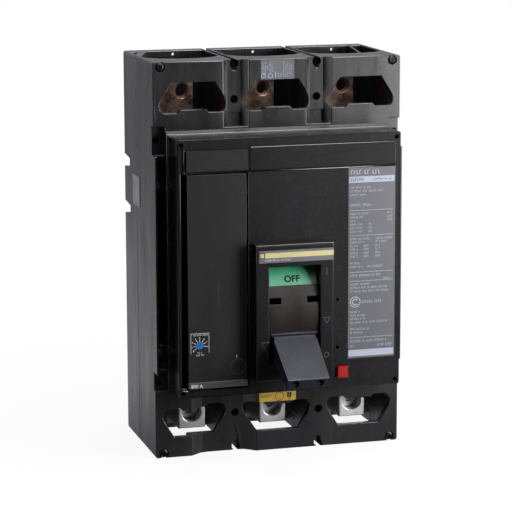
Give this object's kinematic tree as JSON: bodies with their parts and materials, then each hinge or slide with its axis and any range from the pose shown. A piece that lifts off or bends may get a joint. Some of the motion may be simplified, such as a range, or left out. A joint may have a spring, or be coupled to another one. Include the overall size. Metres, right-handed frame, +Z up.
{
  "type": "moulded case circuit breaker",
  "caption": "Moulded case circuit breaker with pivoting handle, rotary contact bar, trip unit, bolt-on line pads and clamp lugs.",
  "frame": {"origin": "centre of the back mounting face, which is also the centre of the four mounting holes", "axes": "+X to the right seen from the front, +Y out of the back, so the front and the handle face -Y, +Z up towards the line terminals"},
  "size_m": [0.2104, 0.1904, 0.327],
  "materials": {
    "black_plastic": "moulded, slightly grained, semi-matt",
    "dark_plastic": "fine grained dark grey",
    "handle_plastic": "slate grey moulded",
    "shutter_plastic": "smooth dark brown",
    "green_flag": "printed green",
    "red_plastic": "moulded red",
    "blue_plastic": "moulded blue",
    "grey_label": "printed film",
    "yellow_label": "printed film",
    "pale_sticker": "translucent film",
    "steel": "zinc plated",
    "dark_steel": "oiled",
    "copper": "dull copper strap, lightly oxidised",
    "aluminium": "tin plated, brushed",
    "fibre": "vulcanised fibre with steel splitter plates",
    "board": "solder mask"
  },
  "bodies": {
    "case": {"arc_chute_1": "fibre", "arc_chute_2": "fibre", "arc_chute_3": "fibre", "bezel_strip": "grey_label", "blank_plate": "black_plastic", "button_spring": "steel", "corner_screw_1": "dark_steel", "corner_screw_2": "dark_steel", "corner_screw_3": "dark_steel", "corner_screw_4": "dark_steel", "cradle_pin": "steel", "current_transformer_1": "dark_plastic", "current_transformer_2": "dark_plastic", "current_transformer_3": "dark_plastic", "front_cover": "black_plastic", "line_terminal_1": "copper", "line_terminal_2": "copper", "line_terminal_3": "copper", "load_terminal_1": "copper", "load_terminal_2": "copper", "load_terminal_3": "copper", "lug_1": "aluminium", "lug_2": "aluminium", "lug_3": "aluminium", "main_cover": "black_plastic", "mechanism_side_left": "steel", "mechanism_side_right": "steel", "notice_label": "yellow_label", "rating_label": "grey_label", "rating_plate": "handle_plastic", "rear_base": "black_plastic", "seal_sticker": "pale_sticker", "terminal_label": "grey_label", "toggle_bezel": "black_plastic", "trip_actuator": "dark_plastic", "trip_circuit_board": "board", "trip_faceplate": "dark_plastic", "trip_unit_housing": "dark_plastic"},
    "handle": {"toggle_handle": "handle_plastic", "toggle_shutter": "shutter_plastic", "off_flag": "green_flag", "handle_yoke": "steel", "main_spring": "dark_steel"},
    "shutter_leaf": {"lower_shutter": "shutter_plastic", "on_flag": "red_plastic"},
    "contact_bar": {"crossbar": "dark_plastic", "moving_contact_1": "copper", "moving_contact_2": "copper", "moving_contact_3": "copper"},
    "latch_cradle": {"cradle": "steel"},
    "link_upper": {"upper_link": "steel"},
    "link_lower": {"lower_link": "steel"},
    "push_to_trip": {"trip_button": "red_plastic"},
    "trip_shaft": {"trip_bar": "dark_plastic"},
    "plunger": {"actuator_plunger": "steel"},
    "dial": {"adjustment_dial": "blue_plastic"},
    "clamp_screw_1": {"lug_screw_1": "steel"},
    "clamp_screw_2": {"lug_screw_2": "steel"},
    "clamp_screw_3": {"lug_screw_3": "steel"}
  },
  "joints": [
    {"name": "handle_swing", "type": "hinge", "parent": "case", "child": "handle", "pos_m": [0, -0.085, -0.0385], "axis": [-1, 0, 0], "range_deg": [0, 48]},
    {"name": "shutter_leaf_swing", "type": "hinge", "parent": "case", "child": "shutter_leaf", "pos_m": [0, -0.085, -0.0385], "axis": [-1, 0, 0], "range_deg": [0, 24]},
    {"name": "contact_bar_turn", "type": "hinge", "parent": "case", "child": "contact_bar", "pos_m": [0, -0.046, -0.004], "axis": [-1, 0, 0], "range_deg": [0, 39.5]},
    {"name": "cradle_release", "type": "hinge", "parent": "case", "child": "latch_cradle", "pos_m": [0, -0.064, -0.066], "axis": [-1, 0, 0], "range_deg": [0, 12]},
    {"name": "upper_link_turn", "type": "hinge", "parent": "latch_cradle", "child": "link_upper", "pos_m": [0, -0.078, -0.052], "axis": [-1, 0, 0], "range_deg": [0, 15]},
    {"name": "lower_link_turn", "type": "hinge", "parent": "contact_bar", "child": "link_lower", "pos_m": [0, -0.06132, -0.01686], "axis": [-1, 0, 0], "range_deg": [-72.6, 0]},
    {"name": "trip_button_press", "type": "slide", "parent": "case", "child": "push_to_trip", "axis": [0, 1, 0], "range_m": [0, 0.003], "stiffness_N_per_m": 300},
    {"name": "trip_bar_turn", "type": "hinge", "parent": "case", "child": "trip_shaft", "pos_m": [0, -0.112, -0.072], "axis": [1, 0, 0], "range_deg": [0, 9]},
    {"name": "plunger_stroke", "type": "slide", "parent": "case", "child": "plunger", "axis": [0, 0, -1], "range_m": [0, 0.004]},
    {"name": "dial_turn", "type": "hinge", "parent": "case", "child": "dial", "pos_m": [-0.0764, -0.138, -0.0618], "axis": [0, -1, 0], "range_deg": [-60, 150]},
    {"name": "lug_screw_1_travel", "type": "slide", "parent": "case", "child": "clamp_screw_1", "axis": [0, 1, 0], "range_m": [0, 0.008]},
    {"name": "lug_screw_2_travel", "type": "slide", "parent": "case", "child": "clamp_screw_2", "axis": [0, 1, 0], "range_m": [0, 0.008]},
    {"name": "lug_screw_3_travel", "type": "slide", "parent": "case", "child": "clamp_screw_3", "axis": [0, 1, 0], "range_m": [0, 0.008]}
  ],
  "couplings": [
    {"joint": "shutter_leaf_swing", "follows": "handle_swing", "ratio": 0.5},
    {"joint": "contact_bar_turn", "follows": "handle_swing", "ratio": 0.82291},
    {"joint": "upper_link_turn", "follows": "handle_swing", "ratio": 0.3125},
    {"joint": "lower_link_turn", "follows": "handle_swing", "ratio": -1.5125},
    {"joint": "trip_bar_turn", "follows": "trip_button_press", "rad_per_m": 52}
  ]
}
